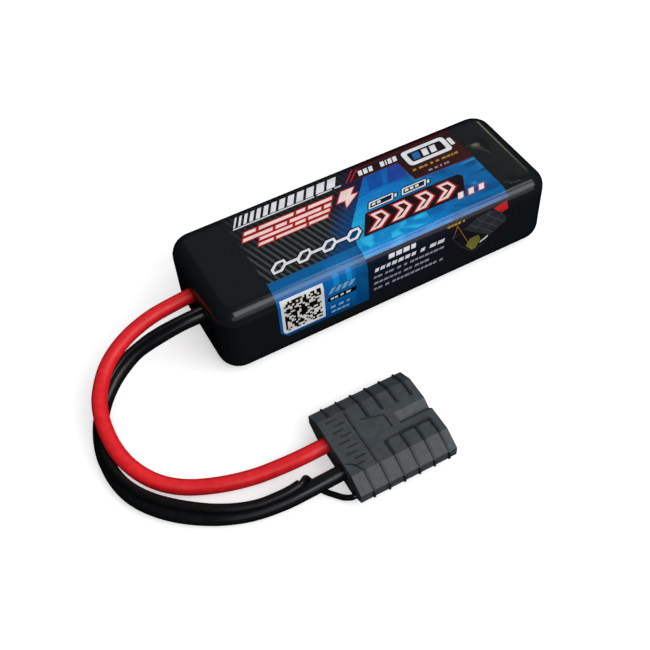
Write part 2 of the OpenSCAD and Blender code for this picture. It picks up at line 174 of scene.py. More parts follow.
def make_lead(name, route, diameter, material):
    """A round silicone lead along its route."""
    line = smooth(route)
    curve = bpy.data.curves.new(name, "CURVE")
    curve.dimensions = "3D"
    curve.bevel_depth = diameter * MM / 2 * FLATS
    curve.bevel_resolution = 6
    curve.use_fill_caps = True
    spline = curve.splines.new("POLY")
    spline.points.add(len(line) - 1)
    for point, place in zip(spline.points, line):
        point.co = (*place, 1)
    spline.use_smooth = True
    curve.materials.append(material)
    lead = bpy.data.objects.new(name, curve)
    bpy.context.scene.collection.objects.link(lead)
    return lead


def link_mesh(name, points, faces, materials):
    """A new piece from its points in metres and its faces."""
    mesh = bpy.data.meshes.new(name)
    mesh.from_pydata(points, [], faces)
    for material in materials:
        mesh.materials.append(material)
    piece = bpy.data.objects.new(name, mesh)
    bpy.context.scene.collection.objects.link(piece)
    return piece


def make_sleeve(name, route, material):
    """The shrunk sleeve along part of the balance lead: a tube with a bore and rounded lips."""
    sides, outer, bore = 20, SLEEVE_D / 2, SLEEVE_BORE / 2
    line = smooth(route)
    last = len(line) - 1
    lip = [(0, bore), (0, outer - 0.15), (0.06, outer)]
    rings = [(0, radius, depth) for depth, radius in lip]
    rings += [(i, outer, 0) for i in range(1, last)]
    rings += [(last, radius, -depth) for depth, radius in reversed(lip)]
    rings += [(i, bore, 0) for i in range(last - 1, 0, -1)]
    tangents = [(line[min(i + 1, last)] - line[max(i - 1, 0)]).normalized() for i in range(last + 1)]
    side = tangents[0].orthogonal().normalized()
    frames = []
    for tangent in tangents:
        side = (side - side.dot(tangent) * tangent).normalized()
        frames.append((side, tangent.cross(side)))
    points, faces = [], []
    for i, radius, depth in rings:
        u, v = frames[i]
        middle = line[i] + tangents[i] * depth * MM
        for k in range(sides):
            angle = 2 * math.pi * k / sides
            points.append(middle + (u * math.cos(angle) + v * math.sin(angle)) * radius * MM)
    for ring in range(len(rings)):
        after = (ring + 1) % len(rings)
        for k in range(sides):
            beside = (k + 1) % sides
            faces.append([ring * sides + k, ring * sides + beside,
                          after * sides + beside, after * sides + k])
    sleeve = link_mesh(name, points, faces, [material])
    sleeve.data.shade_smooth()
    return sleeve


# ---------------- materials

class Paint:
    """A principled material with short calls for its nodes."""

    def __init__(self, name, colour=(0.5, 0.5, 0.5), roughness=0.5, **sockets):
        self.material = bpy.data.materials.new(name)
        self.material.use_nodes = True
        self.tree = self.material.node_tree
        self.shader = next(n for n in self.tree.nodes if n.type == "BSDF_PRINCIPLED")
        self.set("Base Color", (*colour, 1))
        self.set("Roughness", roughness)
        for socket, value in sockets.items():
            self.set(socket.replace("_", " "), value)

    def set(self, socket, value):
        """Sets a socket of the shader to a constant, or links a node's output to it."""
        if isinstance(value, bpy.types.NodeSocket):
            self.tree.links.new(value, self.shader.inputs[socket])
        else:
            self.shader.inputs[socket].default_value = value

    def node(self, kind, inputs=None, **settings):
        """A shader node with its inputs, each a constant or another node's output."""
        made = self.tree.nodes.new("ShaderNode" + kind)
        for key, value in settings.items():
            setattr(made, key, value)
        for key, value in (inputs or {}).items():
            if isinstance(value, bpy.types.NodeSocket):
                self.tree.links.new(value, made.inputs[key])
            else:
                made.inputs[key].default_value = value
        return made

    def math(self, operation, *values):
        return self.node("Math", dict(enumerate(values)), operation=operation).outputs[0]

    def times(self, a, b):
        return self.math("MULTIPLY", a, b)

    def ramp(self, value, low, high):
        """0 where value is below low and 1 above high, smoothly; low may be the larger one."""
        made = self.node("MapRange", {"Value": value, "From Min": low, "From Max": high},
                         interpolation_type="SMOOTHSTEP")
        return made.outputs["Result"]

    def mix(self, share, a, b):
        """Colour a where share is 0 and colour b where it is 1."""
        a, b = ((*colour, 1) if isinstance(colour, tuple) else colour for colour in (a, b))
        return self.node("Mix", {0: share, 6: a, 7: b}, data_type="RGBA").outputs[2]

    def mottle(self, grain, low, high, dark, colour):
        """Colours the piece dark where the grain is below low, and in its full colour above high."""
        self.set("Base Color", self.mix(self.ramp(grain, low, high), dark, colour))

    def gloss(self, grain, low, high):
        """Roughness from low to high, as the grain goes."""
        self.set("Roughness", self.spread(grain, low, high))

    def place(self, scale=(1, 1, 1), turn=(0, 0, 0)):
        """The place on the piece in metres, stretched and turned."""
        where = self.node("TexCoord").outputs["Object"]
        return self.node("Mapping", {"Vector": where, "Scale": scale, "Rotation": turn}).outputs[0]

    def noise(self, scale, detail=2, where=None, roughness=0.5, distortion=0.0):
        return self.node("TexNoise", {
            "Scale": scale, "Detail": detail, "Roughness": roughness, "Distortion": distortion,
            "Vector": where or self.place()}).outputs["Fac"]

    def label(self):
        """The print's own coordinates x and s, in millimetres."""
        split = self.node("SeparateXYZ", {0: self.node("UVMap", uv_map="label").outputs[0]})
        return split.outputs[0], split.outputs[1]

    def spread(self, value, low, high):
        """A value from 0 to 1 turned into one from low to high."""
        made = self.node("MapRange", {"Value": value, "To Min": low, "To Max": high})
        return made.outputs["Result"]

    def bump(self, height, distance, strength=1.0, under=None):
        inputs = {"Height": height, "Distance": distance, "Strength": strength}
        if under is not None:
            inputs["Normal"] = under
        return self.node("Bump", inputs).outputs[0]


def linear(red, green, blue):
    """An 8-bit screen colour as linear light."""
    return tuple(((c / 255 + 0.055) / 1.055) ** 2.4 if c > 10 else c / 255 / 12.92
                 for c in (red, green, blue))


def shade(colour, share):
    """A colour made darker or paler by a share."""
    return tuple(min(1, c * share) for c in colour)


def film_paint(name, colour):
    """Printed shrink film: glossy, a little uneven, with the faint ripple of heated film."""
    paint = Paint(name, colour, 0.16, IOR=1.46)
    paint.gloss(paint.noise(260, 4), 0.12, 0.22)
    ripple = paint.bump(paint.noise(70, 2, paint.place((0.5, 1, 1))), 0.0001, 0.35)
    paint.set("Normal", paint.bump(paint.noise(900, 2), 0.00001, 0.2, ripple))
    return paint


def ink(name, colour):
    """One flat printing ink under the film's gloss, a little uneven like real print."""
    paint = film_paint(name, colour)
    paint.mottle(paint.noise(420, 3), 0.35, 0.65, shade(colour, 0.88), colour)
    return paint.material


def carbon_print():
    """Dark slanting stripes of a printed fibre pattern, which turn blue beside the bright panel."""
    paint = film_paint("print_carbon", (0.01, 0.01, 0.01))
    x, s = paint.label()
    slant, pitch, thread_x, thread_s = 0.33, 1.8, 0.5, 0.45
    across = paint.math("DIVIDE", paint.math("SUBTRACT", x, paint.times(s, slant)), pitch)
    cycle = paint.math("FRACT", across)
    stripe = paint.times(paint.ramp(cycle, 0.4, 0.68), paint.ramp(cycle, 1.0, 0.75))
    threads = paint.math("ADD", paint.math("DIVIDE", x, thread_x), paint.math("DIVIDE", s, thread_s))
    thread = paint.spread(paint.ramp(paint.math("FRACT", threads), 0.2, 0.6), 0.65, 1.0)
    fade = paint.spread(paint.ramp(s, -4, 1), 0.22, 0.95)
    cloud = paint.spread(paint.ramp(paint.noise(60, 2), 0.3, 0.7), 0.75, 1.05)
    woven, lit = paint.times(stripe, thread), paint.times(fade, cloud)
    stripes = paint.mix(paint.times(woven, lit), linear(20, 24, 25), linear(80, 84, 83))
    beside = paint.math("ADD", x, paint.times(s, 0.8))
    glow = paint.times(paint.ramp(beside, -11, -1.5), 0.9)
    glow_colour = paint.mix(paint.ramp(s, -8, 4), linear(20, 24, 62), linear(0, 62, 118))
    paint.set("Base Color", paint.mix(glow, stripes, glow_colour))
    return paint.material


def blue_print():
    """The bright panel of the top: blue with a pale glow at its leaning edge and soft streaks."""
    paint = film_paint("print_blue", (0, 0.15, 0.5))
    x, s = paint.label()
    base = paint.mix(paint.ramp(s, -9, 2), linear(0, 92, 180), linear(0, 124, 200))
    base = paint.mix(paint.ramp(x, 8, 26), base, linear(0, 96, 160))
    edge = paint.math("ADD", x, paint.times(s, 0.8))
    near_edge = paint.times(paint.ramp(edge, 10, -1), paint.ramp(s, -3, 7))
    base = paint.mix(near_edge, base, linear(20, 172, 226))
    stretch = paint.place((0.8, 2.2, 1), (0, 0, 0.5))
    streak = paint.ramp(paint.noise(75, 3, stretch, 0.55, 1.4), 0.42, 0.62)
    base = paint.mix(paint.times(streak, paint.spread(paint.ramp(x, 6, 26), 0.2, 0.8)),
                     base, linear(0, 66, 124))
    sheen = paint.ramp(paint.noise(95, 2, paint.place((0.7, 2.6, 1), (0, 0, -0.6)), 0.5, 1.0), 0.54, 0.7)
    base = paint.mix(paint.times(sheen, 0.5), base, linear(44, 172, 228))
    paint.set("Base Color", base)
    return paint.material


def sky_print():
    """The paler foot of the bright panel, rippled like water."""
    paint = film_paint("print_sky", (0.03, 0.4, 0.8))
    ripple = paint.noise(150, 3, paint.place((1, 2, 1), (0, 0, 0.4)), 0.5, 1.2)
    paint.mottle(ripple, 0.4, 0.65, linear(0, 128, 196), linear(40, 180, 228))
    return paint.material


def side_blue_print():
    """The blue panel of the front side, darker to the right and below."""
    paint = film_paint("print_side_blue", (0, 0.12, 0.4))
    x, s = paint.label()
    base = paint.mix(paint.ramp(s, 15, 19), linear(0, 88, 146), linear(2, 94, 166))
    base = paint.mix(paint.ramp(x, -12.2, -11.4), base, linear(6, 76, 128))
    base = paint.mix(paint.ramp(s, 24, 32), base, linear(0, 62, 118))
    cloud = paint.ramp(paint.noise(120, 3, paint.place((1, 1, 0.5)), 0.5, 0.8), 0.4, 0.7)
    paint.set("Base Color", paint.mix(paint.times(cloud, 0.3), base, linear(20, 122, 190)))
    return paint.material


def strip_print():
    """The dark band along the rear edge, which warms to maroon at its lower right."""
    paint = film_paint("print_strip", (0.02, 0.01, 0.01))
    x, s = paint.label()
    warm = paint.times(paint.ramp(s, -13, -3), paint.ramp(x, 8, 30))
    paint.set("Base Color", paint.mix(warm, linear(34, 16, 20), linear(56, 18, 20)))
    return paint.material


def night_print():
    """The near-black ground of the front side, a trace of blue to the left and violet to the right."""
    paint = film_paint("print_night", (0.01, 0.01, 0.02))
    x, s = paint.label()
    base = paint.mix(paint.ramp(x, 2, 24), linear(18, 24, 40), linear(26, 23, 29))
    paint.set("Base Color", paint.mix(paint.ramp(s, 26, 33), base, linear(21, 24, 27)))
    return paint.material


def silicone(name, colour, dark, gloss):
    """Soft silicone insulation: a satin skin with fine dust and a slight mottle."""
    paint = Paint(name, colour, gloss, IOR=1.43)
    paint.mottle(paint.noise(700, 4), 0.3, 0.75, dark, colour)
    paint.gloss(paint.noise(600, 4), gloss - 0.07, gloss + 0.07)
    paint.set("Normal", paint.bump(paint.noise(2500, 3), 0.00002, 0.25))
    return paint.material


def moulded(name, colour, dark):
    """Spark-eroded nylon: a fine even grain and a slight mottle, with painted shade darkening its
    corners and the feet of its ribs.
    """
    paint = Paint(name, colour, 0.5, IOR=1.46)
    mottle = paint.mix(paint.ramp(paint.noise(700, 5), 0.3, 0.7), dark, colour)
    # Painted shade: the colour goes much darker where ambient occlusion finds a corner, as if shade fell
    # there
    corner = paint.node("AmbientOcclusion", {"Distance": 0.0009}, samples=8).outputs["AO"]
    paint.mottle(corner, 0.45, 0.92, shade(dark, 0.22), mottle)
    paint.gloss(paint.noise(1500, 3), 0.4, 0.58)
    grain, waves = paint.noise(5200, 3), paint.bump(paint.noise(300, 2), 0.0001, 0.2)
    paint.set("Normal", paint.bump(grain, 0.00004, 0.5, waves))
    return paint.material


def foam(name, colour):
    """Closed-cell foam with its small round cells."""
    paint = Paint(name, colour, 0.9)
    cells = paint.node("TexVoronoi", {"Vector": paint.place(), "Scale": 2200}).outputs["Distance"]
    paint.mottle(cells, 0.1, 0.6, colour, shade(colour, 1.3))
    paint.set("Normal", paint.bump(cells, 0.0001, 0.6))
    return paint.material


def metal(name, colour, roughness, scale=(1, 30, 30)):
    """Sheet or turned metal with its drawn grain."""
    paint = Paint(name, colour, roughness, Metallic=1.0)
    grain = paint.noise(400, 4, paint.place(scale))
    paint.mottle(grain, 0.3, 0.7, shade(colour, 0.8), colour)
    paint.gloss(grain, roughness - 0.08, roughness + 0.12)
    paint.set("Normal", paint.bump(grain, 0.00002, 0.3))
    return paint.material


def pouch_foil():
    """Laminated aluminium foil over the cell, slightly crumpled."""
    paint = Paint("cell", (0.72, 0.74, 0.76), 0.35, Metallic=0.9)
    crease = paint.noise(120, 5, None, 0.6, 0.8)
    paint.mottle(crease, 0.3, 0.7, (0.6, 0.62, 0.64), (0.78, 0.8, 0.82))
    paint.gloss(crease, 0.26, 0.45)
    paint.set("Normal", paint.bump(crease, 0.0003, 0.5))
    return paint.material


def sheet_plastic(name, colour, roughness):
    """A thin sheet, tape or board with a faint weave and uneven gloss."""
    paint = Paint(name, colour, roughness, IOR=1.5)
    weave = paint.noise(500, 3, paint.place((1, 4, 4)))
    paint.mottle(weave, 0.35, 0.65, shade(colour, 0.75), colour)
    paint.gloss(weave, roughness - 0.06, roughness + 0.08)
    paint.set("Normal", paint.bump(weave, 0.00002, 0.3))
    return paint.material


def make_materials():
    """One material for each slot of the record."""
    return {
        "film": film_paint("film_black", linear(20, 25, 28)).material,
        "shell": moulded("shell", linear(34, 34, 36), linear(26, 26, 28)),
        "foam": foam("foam", (0.04, 0.04, 0.045)),
        "pale_foam": foam("pale_foam", (0.6, 0.6, 0.57)),
        "cell": pouch_foil(),
        "tab": metal("tab", (0.8, 0.81, 0.82), 0.3),
        "nickel": metal("nickel", (0.7, 0.66, 0.58), 0.32),
        "tape": sheet_plastic("tape", (0.62, 0.3, 0.04), 0.22),
        "board": sheet_plastic("board", (0.02, 0.16, 0.06), 0.3),
        "insulator": sheet_plastic("insulator", (0.07, 0.25, 0.18), 0.6),
        "solder": metal("solder", (0.75, 0.76, 0.78), 0.22, (1, 1, 1)),
        "copper": metal("copper", (0.85, 0.5, 0.32), 0.3),
        "contact": metal("contact", (0.9, 0.68, 0.3), 0.25),
        "red_silicone": silicone("red_silicone", linear(234, 26, 36), linear(216, 20, 30), 0.4),
        "black_silicone": silicone("black_silicone", linear(20, 22, 24), linear(14, 16, 18), 0.25),
        "sleeve": silicone("sleeve", linear(16, 16, 18), linear(11, 11, 13), 0.38),
        "grommet": moulded("grommet", linear(20, 20, 21), linear(14, 14, 15)),
        "plug": moulded("plug", linear(66, 73, 77), linear(58, 64, 68)),
    }


# ---------------- flat shapes of the print

LEAN = 0.62  # how far the bold marks lean for each millimetre of height
SMALL_LEAN = 0.25


def area(loop):
    """The signed area inside an outline."""
    return sum(a[0] * b[1] - b[0] * a[1] for a, b in zip(loop, loop[1:] + loop[:1])) / 2


def box(x0, s0, x1, s1):
    """An upright rectangle between two opposite corners."""
    return [(x0, s0), (x1, s0), (x1, s1), (x0, s1)]


def bar(x, s, length, height, lean=LEAN):
    """A leaning block. x and s are its near left corner, and it rises away from the front edge."""
    shift = lean * height
    return [(x, s), (x + length, s), (x + length + shift, s - height), (x + shift, s - height)]


def placed(shape, x, s, size, lean=LEAN):
    """A shape drawn one unit high, set on a line at s and leaned."""
    return [(x + size * (a + lean * b), s - size * b) for a, b in shape]


def grown(loop, by):
    """An outline moved outwards by a distance. Its mitred corners are a little short."""
    mitre, sign = 1.15, 1 if area(loop) > 0 else -1
    corners = [Vector(p) for p in loop]
    out = []
    for before, here, after in zip(corners[-1:] + corners[:-1], corners, corners[1:] + corners[:1]):
        a, b = (here - before).normalized(), (after - here).normalized()
        first, second = Vector((a.y, -a.x)) * sign, Vector((b.y, -b.x)) * sign
        out.append(tuple(here + (first + second) / (mitre + first.dot(second)) * by))
    return out


def rounded(loop, radius, steps=3):
    """An outline with its corners cut back by radius and curved."""
    corners = [Vector(p) for p in loop]
    out = []
    for before, here, after in zip(corners[-1:] + corners[:-1], corners, corners[1:] + corners[:1]):
        start = here + (before - here).normalized() * min(radius, (before - here).length * 0.45)
        end = here + (after - here).normalized() * min(radius, (after - here).length * 0.45)
        for i in range(steps + 1):
            t = i / steps
            out.append(tuple((1 - t) ** 2 * start + 2 * t * (1 - t) * here + t * t * end))
    return out


def stroke(line, width):
    """A band of a given width along an open line."""
    points = [Vector(p) for p in line]
    left, right = [], []
    for i, here in enumerate(points):
        a = (here - points[i - 1]).normalized() if i else (points[1] - here).normalized()
        b = (points[i + 1] - here).normalized() if i + 1 < len(points) else a
        first, second = Vector((-a.y, a.x)), Vector((-b.y, b.x))
        away = (first + second) / (1 + first.dot(second)) * width / 2
        left.append(tuple(here + away))
        right.append(tuple(here - away))
    return left + right[::-1]


def blocks(x, s, lengths, height, gap, lean=LEAN):
    """A row of leaning blocks from x, with a gap between each two."""
    row = []
    for length in lengths:
        row.append(bar(x, s, length, height, lean))
        x += length + gap
    return row


def streamers(x, s, rows, height, gap):
    """Rows of long thin leaning dashes, one above the other. Each row is a list of lengths."""
    marks = []
    for number, lengths in enumerate(rows):
        rise = number * (height + gap)
        marks += blocks(x + LEAN * rise, s - rise, lengths, height, gap)
    return marks


def small_print(dice, x, s, end, height):
    """Plain dashes of one height from x to about end, where a line of small print would be."""
    row = []
    while x < end - height:
        length = dice.uniform(0.6, 1.3) * height
        row.append(bar(x, s, length, 0.66 * height, SMALL_LEAN))
        x += length + height * dice.choice((0.26, 0.26, 0.26, 0.26, 0.8))
    return row


CHEVRON = [(0, 0), (0.66, 0), (1.12, 0.5), (0.66, 1), (0, 1), (0.46, 0.5)]
BOLT = [(0.28, 0), (0.95, 0.58), (0.6, 0.6), (0.85, 1), (0.2, 1), (-0.1, 0.42), (0.3, 0.42)]
HEXAGON = [(0.3, 0), (1, 0), (1.3, 0.5), (1, 1), (0.3, 1), (0, 0.5)]
BOND = [(1.2, 0.38), (2.1, 0.38), (2.1, 0.62), (1.2, 0.62)]


# ---------------- the print

LABEL_LEFT, LABEL_RIGHT = -34.2, 36.2
PANEL_X = -8.1  # where the side's blue panel ends
NIGHT_S = 16.8  # where the side's dark ground begins
LABEL_S = 42.0  # where the print ends on the underside


def ground_prints():
    """The coloured grounds of the print, the lowest first: (ink, outlines)."""
    leaning = [(5.9, -9), (-0.9, -0.6), (-5.9, 5.5), (-7.6, 11), (PANEL_X, 12.4)]
    step = [(LABEL_RIGHT, -0.4), (17.7, -1), (17, -9.2)]
    side = [(LABEL_LEFT, 12.3), (PANEL_X, 12.3), (PANEL_X, 31.5), (-32.2, 31.5), (LABEL_LEFT, 29.4)]
    return [
        ("carbon", [box(LABEL_LEFT, -48, LABEL_RIGHT, 12.3)]),
        ("carbon", [box(LABEL_LEFT, LABEL_S, LABEL_RIGHT, 54)]),
        ("strip", [[(1.6, -9.3), (5.2, -13.3), (5.2, -33), (LABEL_RIGHT, -33), *step]]),
        ("blue", [[*leaning, (PANEL_X, NIGHT_S), (LABEL_RIGHT, NIGHT_S), *step]]),
        ("side_blue", [side]),
        ("night", [box(PANEL_X, NIGHT_S, LABEL_RIGHT, LABEL_S)]),
    ]


def panel_prints():
    """Shapes inside the coloured grounds."""
    streams = [bar(x, 21.6, width, 4.6, 0.06) for x, width in ((-18.3, 1.7), (-14.4, 1.4))]
    return [
        ("deep_blue", [[(7.1, -9.1), (11.4, -9.1), (8.9, -3.4), (4.6, -3.5)]]),
        ("indigo", [[(13.7, -9.1), (16.9, -9.1), (17.2, -5.2), (16.2, -3.4), (10.4, -3.4)]]),
        ("sky", [[(-6.4, 10.9), (13.4, 10.9), (13.4, 14.6), (-7.9, 14.6)]]),
        ("stream", streams),
    ]


def outlined(shapes, colour, *rims, radius=0.0):
    """Shapes in one colour inside rims, each an ink and a width, from the inmost out."""
    def drawn(by):
        loops = [grown(shape, by) for shape in shapes]
        return [rounded(loop, radius + by) for loop in loops] if radius else loops

    prints, reach = [(colour, drawn(0))], 0
    for rim_ink, width in rims:
        reach += width
        prints.insert(0, (rim_ink, drawn(reach)))
    return prints


def heading_prints():
    """The bold marks of the top: slashes, streamers, a bolt, a chain of cells and arrows."""
    slashes = blocks(-33, -9.9, [0.55 + 0.17 * i for i in range(13)], 3.4, 0.85)
    prints = [("white", slashes + blocks(-33.4, -9.2, (24.2, 4.6, 2), 0.42, 0.85))]

    upper = streamers(-33, -4, ((8.6, 3.2, 9.4, 2), (3.4, 10.2, 2.6, 7.2)), 1.05, 0.95)
    lower = streamers(-30, -0.7, ((4.2, 8.8, 5.6), (9.6, 3, 6.4)), 0.85, 0.9)
    bolt = placed(BOLT, -5.3, -1.2, 6, 0.35)
    prints += outlined([*upper, *lower, bolt], "blush", ("red", 0.4))

    links = [-32.3 + 7.3 * i for i in range(4)]
    hexagons = [placed(HEXAGON, x, 10.3, 3.6) for x in links]
    bonds = [placed(BOND, x, 10.3, 3.6) for x in links[:3]]
    prints += outlined([*hexagons, *bonds], "white", ("black", 0.42))
    prints += [("carbon", [grown(hexagon, -0.8) for hexagon in hexagons])]

    cells = [bar(x, 2.6, 7.6, 2.3) for x in (0.9, 11.2)]
    prints += outlined([bar(x, 2, 0.7, 1.1) for x in (9.25, 19.55)], "white", ("navy", 0.4))
    prints += outlined(cells, "white", ("navy", 0.4), radius=0.4)
    prints += [("navy", [grown(cell, -0.5) for cell in cells])]
    for x, count in ((2.4, 2), (12.7, 3)):
        prints += [("white", blocks(x, 1.75, [1.1] * count, 0.75, 0.5))]

    back = [(-5.2, 10.7), (-0.6, 3.3), (28.6, 3.3), (29.4, 4.6), (26, 10.9), (4.6, 10.7)]
    arrows = [placed(CHEVRON, -2.9 + 6.9 * i, 9.7, 5.3) for i in range(4)]
    prints += [("shadow", [rounded(back, 0.8)])]
    prints += outlined(arrows, "blush", ("red", 0.4), ("ember", 0.35))
    prints += [("ember", [grown(arrow, -0.85) for arrow in arrows])]

    prints += outlined(blocks(23.3, 11.6, (1.6, 1.6, 1.6), 1.9, 1.7), "white", ("red", 0.25))
    return prints


def rear_prints(dice):
    """The marks on the dark band: thin red lines, a plain battery sign and small print."""
    lines = [([(36.2, -0.4), (17.7, -1), (17, -9.2), (2, -9.3)], 0.2),
             ([(5, -13.5), (36.2, -13.6)], 0.16), ([(6.2, -12.8), (36.2, -12.9)], 0.16)]
    marks = blocks(5.3, -10.1, (1.2, 1.2, 1.2), 1.9, 0.45, 0.3)
    marks += blocks(12.3, -10.1, (1.2, 0.4, 1.2, 1.2), 1.9, 0.4, 0.3)
    sign = [rounded(box(19.4, -12.2, 33.4, -6), 1.4, 4), rounded(box(33.8, -10.6, 35.1, -7.6), 0.4)]
    return [
        ("dim_red", [stroke(*line) for line in lines]),
        ("red", [stroke([(0.8, -9.4), (4.9, -13.4)], 0.3), stroke([(2.2, -9.4), (6.1, -12.9)], 0.3)]),
        ("white", marks + sign),
        ("shadow", [rounded(box(20.9, -11, 31.9, -7.2), 0.6)]),
        ("panel_blue", [bar(21.6, -7.8, 2.2, 2.6, SMALL_LEAN)]),
        ("white", blocks(24.7, -7.8, (1.8, 1.8), 2.6, 0.8, SMALL_LEAN)),
        ("yellow", small_print(dice, 18.9, -3.9, 34.9, 1.15)),
        ("grey", small_print(dice, 22.6, -1.8, 30.2, 0.95)),
    ]


def code_prints(dice):
    """A plain grid of random squares in a white frame. It codes nothing and has no finder marks."""
    border = [(-33.4, 17.9), (-21.1, 17.9), (-21.1, 30.4), (-32.6, 30.4), (-33.4, 29.5)]
    left, top, width, height, count, share_dark = -32.6, 18.8, 10.7, 10.8, 18, 0.52
    step_x, step_s = width / count, height / count
    squares = []
    for row in range(count):
        start = None
        for column in range(count + 1):
            dark = column < count and dice.random() < share_dark
            if dark and start is None:
                start = column
            if not dark and start is not None:
                squares.append(box(left + start * step_x, top + row * step_s,
                                   left + column * step_x, top + (row + 1) * step_s))
                start = None
    paper = box(left, top, left + width, top + height)
    return [("white", [border]), ("paper", [paper]), ("black", squares)]


# Rows of small print on the front side: ink, left end, line, right end and height
SIDE_ROWS = [
    ("white", -19.4, 25, -12.8, 1), ("pale_blue", -19.6, 28.4, -13, 1.2),
    ("pale_blue", -19.4, 30.2, -13.6, 1.1), ("white", -1.9, 19.4, 9.6, 1.9),
    ("white", -6.2, 22, 15.2, 1.9), ("grey", -6.5, 24.4, 16.2, 1.2),
    ("grey", -6.5, 26.7, 11.2, 1.2), ("grey", -6.5, 28.9, 16, 1.2)]


def side_prints(dice):
    """Small print and a drawing of a plug on the front side, all without lettering."""
    prints = code_prints(dice)
    prints += outlined(blocks(-20, 22.6, [1.3] * 4, 1.9, 0.6), "pale_blue", ("deep_blue", 0.2))
    prints += [("black", [rounded(bar(-20.4, 25.5, 8.6, 1.8, 0.2), 0.7)])]
    prints += [(colour, small_print(dice, *row)) for colour, *row in SIDE_ROWS]
    return prints + plug_drawing(dice)


def plug_drawing(dice):
    """A small drawing of a plug with its red lead and two pointer lines."""
    body = [(17.9, 22.4), (25.4, 18.8), (30, 18.3), (33.1, 20), (35.2, 23), (35.1, 24.6), (30, 27.6),
            (27.4, 30.4), (25, 31.2), (20.8, 27.3)]
    mouth = [(18.2, 22.6), (21.6, 21), (30, 27.3), (27.2, 30.1), (25, 30.9), (21.1, 27)]
    contact = [(22.3, 27.6), (23.6, 25.4), (26.4, 25.4), (27.1, 27.3), (25.9, 30), (24.6, 30.2)]
    seams = [[(23.2 + 2.7 * i, 20 - 0.5 * i), (31 + 1.6 * i, 26.6 - 1.1 * i)] for i in range(3)]
    seams += [[(25, 22.6), (30, 18.6)], [(28, 25), (33.6, 21)]]
    return [
        ("red", [[(31, 18.2), (35.4, 17.7), (35.5, 20.1), (33.2, 20.6)]]),
        ("slate", [body]),
        ("night", [mouth]),
        ("steel", [stroke(seam, 0.2) for seam in seams]),
        ("olive", [contact]),
        ("white", [[(26.9, 28.9), (27.2, 28.2), (29.6, 27), (29.5, 27.7)]]),
        ("yellow", [stroke([(17.9, 22.4), (19.4, 18.7), (24.7, 30)], 0.14)]),
        ("yellow", small_print(dice, 16.4, 18.3, 22.8, 0.8)),
    ]


def back_prints():
    """The rear side, which the photograph doesn't show: rows of plain dashes and three signs."""
    prints = [("night", [box(LABEL_LEFT, -LABEL_S, LABEL_RIGHT, -18)])]
    prints += [("dim_red", [box(LABEL_LEFT, -18, LABEL_RIGHT, -17.8)])]
    for i in range(5):
        lengths = [2.2 + 1.1 * ((5 * i + 3 * j) % 4) for j in range(9)]
        prints += [("grey", blocks(-31.5, -22 - 2.3 * i, lengths, 0.6, 0.7, SMALL_LEAN))]
    for i in range(3):
        tile = box(12 + 7.6 * i, -32, 18 + 7.6 * i, -24)
        prints += [("grey", [rounded(tile, 0.9)]), ("night", [rounded(grown(tile, -0.45), 0.5)])]
    prints += [("yellow", [[(12.9, -25.3), (17.1, -25.3), (15, -30.2)]])]
    prints += [("pale_blue", [[(20.6 + a * 3.1, -26.2 - b * 3.6) for a, b in HEXAGON]])]
    prints += [("white", [[(29.2 + a * 2.2, -25.2 - b * 5.2) for a, b in BOLT]])]
    return prints


INKS = {
    "white": (230, 232, 238), "blush": (246, 222, 218), "red": (198, 34, 40), "ember": (78, 12, 18),
    "dim_red": (104, 26, 36), "shadow": (22, 12, 18), "navy": (10, 24, 50), "black": (10, 11, 12),
    "paper": (226, 226, 222), "yellow": (172, 132, 44), "deep_blue": (4, 78, 162),
    "indigo": (26, 66, 156), "panel_blue": (30, 104, 170), "stream": (18, 138, 208),
    "pale_blue": (120, 172, 214), "grey": (146, 150, 158), "slate": (46, 50, 56),
    "steel": (74, 80, 86), "olive": (112, 112, 48),
}


# ---------------- the film

PLAIN_X = 47  # the place in x from which the plain film of the ends takes its print coordinates
LIP_DEPTH = 0.7
BENDS = 8  # pieces of film round each rounded edge and corner
LONG_CELL, TOP_CELL, BELT_CELL, END_CELL = 4.0, 3.2, 3.4, 3.0  # spacing of the film's mesh


def evenly(low, high, size):
    """Evenly spaced values from low to high, about size apart."""
    count = max(1, round((high - low) / size))
    return [low + (high - low) * i / count for i in range(count + 1)]


def belt_stops():
    """Distances down from the top's rim at which the film has an edge."""
    fillet = evenly(0, TURN, TURN / BENDS)
    wall = evenly(TURN, TURN + WALL, BELT_CELL)
    return fillet + wall[1:] + [TURN + WALL + d for d in fillet[1:]]


def section_stops():
    """Places round the whole section at which the film has an edge."""
    half = evenly(0, FLAT, TOP_CELL) + [FLAT + d for d in belt_stops()[1:]]
    half += evenly(HALF_ROUND - FLAT, HALF_ROUND, TOP_CELL)[1:]
    return [-s for s in half[:0:-1]] + half


# Creases of the shrunk film, in (x, s): where each starts and ends, how far it slopes down to its
# bottom line, how far it rises beyond it, and how steep it is
CREASES = [
    ((41.4, -8), (41.2, 1.6), 2.6, 0.6, 0.105),
    ((37, 11.9), (43.9, 14.9), 0.45, 0.9, 0.6),
]
# The finer mesh at each crease: its reach and spacing in x, then in s
CREASE_GRIDS = [((36.6, 43.6, 0.45), (-8, 4, 0.45)), ((36.8, 43.8, 0.3), (10.6, 16.6, 0.22))]


def ease(t):
    """A smooth step from 0 at t = 0 to 1 at t = 1."""
    t = min(1, max(0, t))
    return t * t * (3 - 2 * t)


def crease_depth(x, s):
    """How far the creases sink the film at a place on the print."""
    depth = 0
    for start, end, slope, rise, steepness in CREASES:
        way = Vector(end) - Vector(start)
        offset = Vector((x, s)) - Vector(start)
        t = offset.dot(way) / way.length_squared
        away = (offset.x * way.y - offset.y * way.x) / way.length
        size = ease(t / 0.35) * ease((1 - t) / 0.65)
        reach = (slope if away < 0 else rise) * max(size, 0.15)
        depth += steepness * slope * size * math.exp(-(away / reach) ** 2)
    return depth


